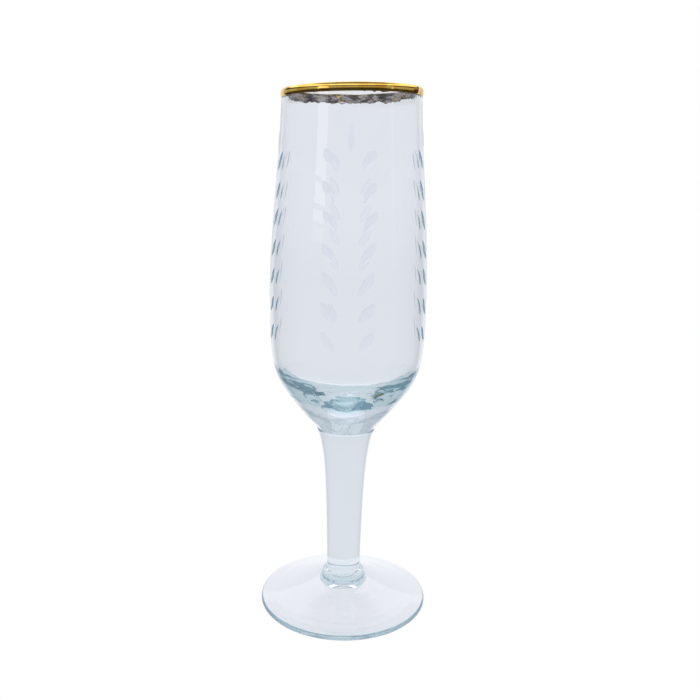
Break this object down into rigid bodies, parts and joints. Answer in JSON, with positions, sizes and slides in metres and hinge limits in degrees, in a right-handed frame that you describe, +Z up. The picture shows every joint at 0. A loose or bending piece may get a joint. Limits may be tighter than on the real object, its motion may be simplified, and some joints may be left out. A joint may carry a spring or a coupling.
{
  "type": "champagne flute",
  "caption": "Stemmed champagne flute: tall blown bowl with leaf branches cut in its sides, thick base, solid drawn stem, small joining hub, round spun foot and gilded lip.",
  "frame": {"origin": "centre of the foot's rest ring, in the plane of the table", "axes": "+Z up along the glass's axis from foot to lip; -Y faces the front leaf branch, +Y the back one, and the side branches stand 82 degrees either way from the front one"},
  "size_m": [0.0666, 0.0666, 0.2],
  "materials": {
    "clear_glass": "polished clear soda glass with a faint blue-green tint where it is thick",
    "gold_lustre": "fired bright gold, burnished and slightly uneven"
  },
  "bodies": {
    "root": {"foot": "clear_glass", "foot_hub": "clear_glass", "stem": "clear_glass", "bowl": "clear_glass", "gold_rim": "gold_lustre"}
  },
  "joints": []
}
